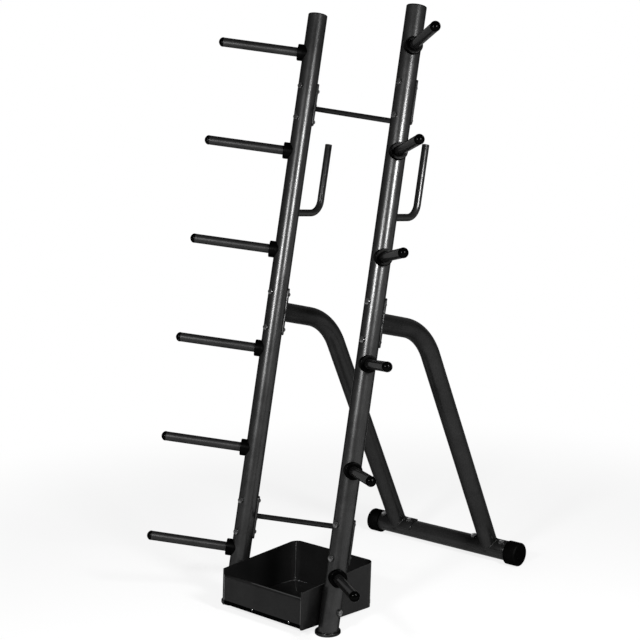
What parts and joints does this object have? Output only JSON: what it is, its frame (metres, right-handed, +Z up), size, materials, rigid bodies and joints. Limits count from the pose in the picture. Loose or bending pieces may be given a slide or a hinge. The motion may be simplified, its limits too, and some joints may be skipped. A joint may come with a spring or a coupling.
{
  "type": "weight plate tree",
  "caption": "Free-standing plate storage rack: leaning tube uprights with angled pegs, bar hooks, bent rear legs on a capped base tube and an open sheet-metal tray.",
  "frame": {"origin": "on the floor, under the middle of the tree's bounding box", "axes": "+X across the tree to the right as seen from the front, +Y from the pegs and tray towards the rear legs, +Z up"},
  "size_m": [0.8462, 1.013, 1.7882],
  "materials": {
    "coated_steel": "dark charcoal powder coat, satin to gloss",
    "black_rubber": "moulded black rubber, dull",
    "black_plastic": "moulded black plastic, slight sheen",
    "plated_steel": "dark zinc-plated hexagon bolts"
  },
  "bodies": {
    "root": {"base_cap_left": "black_rubber", "base_cap_right": "black_rubber", "base_tube": "coated_steel", "bolt_foot_inner_left": "plated_steel", "bolt_foot_inner_right": "plated_steel", "bolt_foot_outer_left": "plated_steel", "bolt_foot_outer_right": "plated_steel", "bolt_leg_high_left": "plated_steel", "bolt_leg_high_right": "plated_steel", "bolt_leg_low_left": "plated_steel", "bolt_leg_low_right": "plated_steel", "bolt_lower_cross_high_left": "plated_steel", "bolt_lower_cross_high_right": "plated_steel", "bolt_lower_cross_low_left": "plated_steel", "bolt_lower_cross_low_right": "plated_steel", "bolt_tray_left": "plated_steel", "bolt_tray_right": "plated_steel", "bolt_upper_cross_high_left": "plated_steel", "bolt_upper_cross_high_right": "plated_steel", "bolt_upper_cross_low_left": "plated_steel", "bolt_upper_cross_low_right": "plated_steel", "collar_left_1": "black_rubber", "collar_left_2": "black_rubber", "collar_left_3": "black_rubber", "collar_left_4": "black_rubber", "collar_left_5": "black_rubber", "collar_left_6": "black_rubber", "collar_right_1": "black_rubber", "collar_right_2": "black_rubber", "collar_right_3": "black_rubber", "collar_right_4": "black_rubber", "collar_right_5": "black_rubber", "collar_right_6": "black_rubber", "cross_rod_lower": "coated_steel", "cross_rod_upper": "coated_steel", "foot_left": "black_rubber", "foot_right": "black_rubber", "leg_left": "coated_steel", "leg_right": "coated_steel", "peg_cap_left_1": "black_plastic", "peg_cap_left_2": "black_plastic", "peg_cap_left_3": "black_plastic", "peg_cap_left_4": "black_plastic", "peg_cap_left_5": "black_plastic", "peg_cap_left_6": "black_plastic", "peg_cap_right_1": "black_plastic", "peg_cap_right_2": "black_plastic", "peg_cap_right_3": "black_plastic", "peg_cap_right_4": "black_plastic", "peg_cap_right_5": "black_plastic", "peg_cap_right_6": "black_plastic", "top_plug_left": "black_plastic", "top_plug_right": "black_plastic", "tray": "coated_steel", "upright_left": "coated_steel", "upright_right": "coated_steel"}
  },
  "joints": []
}
